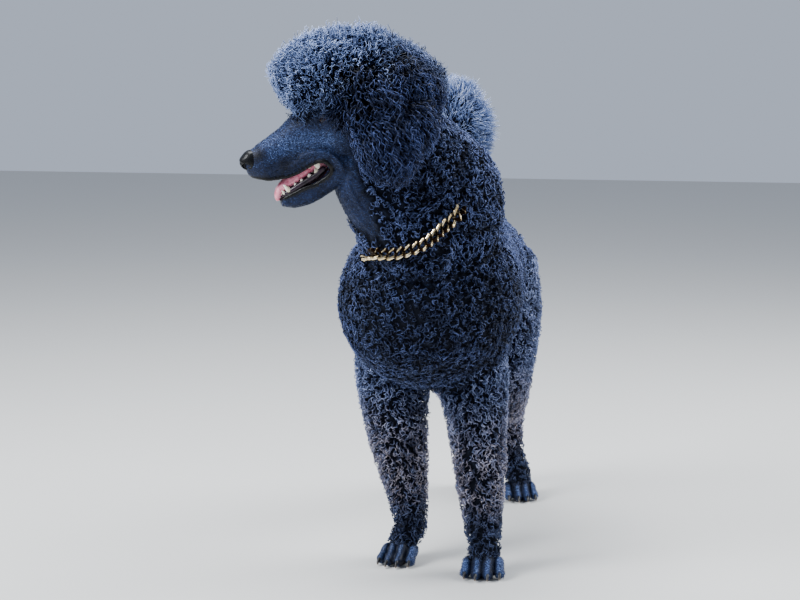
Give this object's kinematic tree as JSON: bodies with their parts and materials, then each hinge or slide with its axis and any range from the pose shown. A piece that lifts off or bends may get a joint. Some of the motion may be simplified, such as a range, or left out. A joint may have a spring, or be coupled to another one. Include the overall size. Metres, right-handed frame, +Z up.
{
  "type": "standing standard poodle",
  "caption": "Life-size standing dog in a curly clipped coat, head turned to its right with mouth open, shaved face, throat and feet, tail pompon raised, chain collar.",
  "frame": {"origin": "on the floor, under the middle of the part's bounding box", "axes": "+Z up; the dog's body faces -Y and +X is the dog's left side; the head is turned towards -X"},
  "size_m": [0.427, 0.9928, 0.9566],
  "materials": {
    "coat": "matt black curly hair with a blue-grey cast, greyer at the tips",
    "skin": "short clipped blue-black hair over skin, low sheen",
    "nose": "moist black pebbled leather",
    "tongue": "moist pink",
    "eye": "very dark brown, wet and glossy",
    "chain": "polished gold colour"
  },
  "bodies": {
    "root": {"torso": "coat", "neck": "coat", "head": "coat", "nose": "nose", "lower_jaw": "skin", "tongue": "tongue", "ear_left": "coat", "ear_right": "coat", "eye_left": "eye", "eye_right": "eye", "foreleg_left": "coat", "foreleg_right": "coat", "hindleg_left": "coat", "hindleg_right": "coat", "paw_fore_left": "skin", "paw_fore_right": "skin", "paw_hind_left": "skin", "paw_hind_right": "skin", "tail": "coat", "tail_pompon": "coat", "collar_chain": "chain"}
  },
  "joints": []
}
